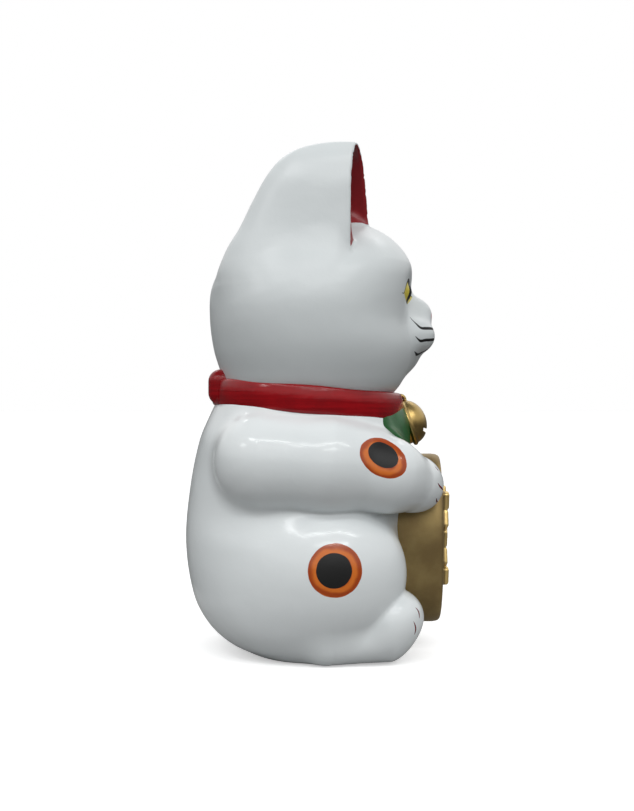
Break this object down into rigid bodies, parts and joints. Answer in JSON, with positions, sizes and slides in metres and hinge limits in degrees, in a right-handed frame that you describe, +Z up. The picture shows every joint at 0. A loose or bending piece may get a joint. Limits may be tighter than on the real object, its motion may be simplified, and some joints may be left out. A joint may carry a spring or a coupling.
{
  "type": "lucky cat figurine",
  "caption": "Seated lucky cat with a raised left paw, its right paw on an oval coin, with a red collar, a bell and a green bib, painted in white enamel.",
  "frame": {"origin": "middle of the flat base, on the surface it stands on, midway between the cat's two sides", "axes": "+Z up, the cat faces -Y, and its left side, with the raised paw, is +X"},
  "size_m": [0.199, 0.1757, 0.33],
  "materials": {
    "white_enamel": "gloss",
    "gold_paint": "satin",
    "red_enamel": "gloss",
    "green_enamel": "gloss"
  },
  "bodies": {
    "root": {"lucky_cat": "white_enamel"}
  },
  "joints": []
}
